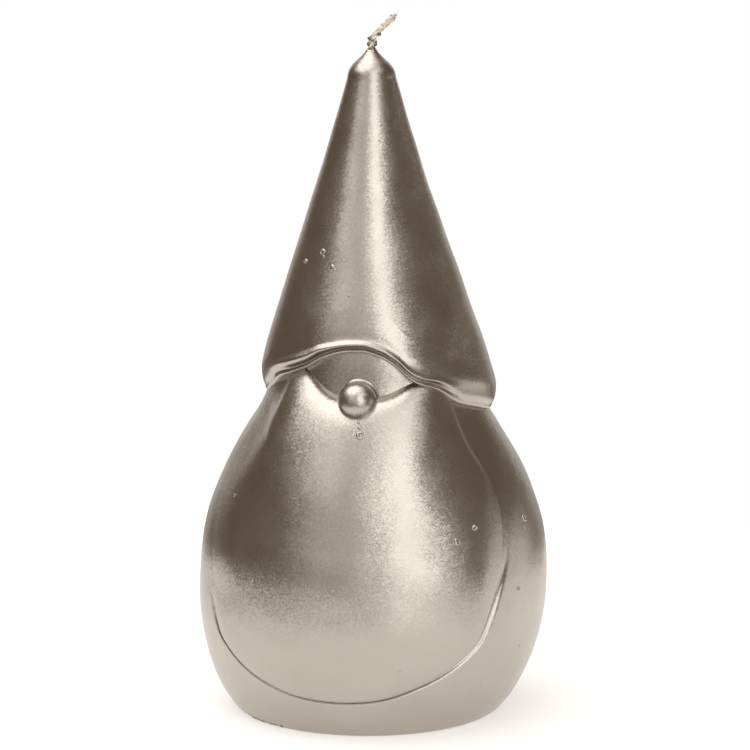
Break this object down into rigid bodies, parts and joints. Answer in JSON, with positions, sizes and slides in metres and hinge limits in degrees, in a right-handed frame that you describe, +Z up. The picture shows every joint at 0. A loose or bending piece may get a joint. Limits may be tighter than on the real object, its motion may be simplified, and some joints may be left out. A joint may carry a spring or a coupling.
{
  "type": "gnome candle",
  "caption": "Gnome-shaped decorative candle: a pear-shaped wax figure with a relief beard, ball nose and tall pointed hat, metallic lacquered, with a bendable cotton wick at the tip.",
  "frame": {"origin": "centre of the flat base, on the surface the candle stands on and on the vertical axis of the body and hat", "axes": "+Z up, from the base to the tip of the hat; -Y is the front, where the face, nose and beard look; +X is the figure's own left, towards which the wick leans"},
  "size_m": [0.0794, 0.0802, 0.1597],
  "materials": {
    "lacquered_wax": "champagne-pewter metallic lacquer with a fine flake, satin, sprayed over paraffin wax",
    "bare_wax": "unpainted cream paraffin wax, smooth and slightly translucent",
    "cotton_wick": "braided cream cotton, waxed, with spots of the metallic lacquer",
    "tinned_steel": "thin tinned steel, pressed"
  },
  "bodies": {
    "candle": {"body": "lacquered_wax", "beard": "lacquered_wax", "nose": "lacquered_wax", "hat": "lacquered_wax", "wick_core": "cotton_wick", "wick_sustainer": "tinned_steel", "base_fill": "bare_wax"},
    "wick_end": {"wick_tip": "cotton_wick"}
  },
  "joints": [
    {"name": "wick_bend", "type": "hinge", "parent": "candle", "child": "wick_end", "pos_m": [0, 0, 0.1512], "axis": [-0.2079, 0.9781, 0], "range_deg": [-50, 30]}
  ]
}
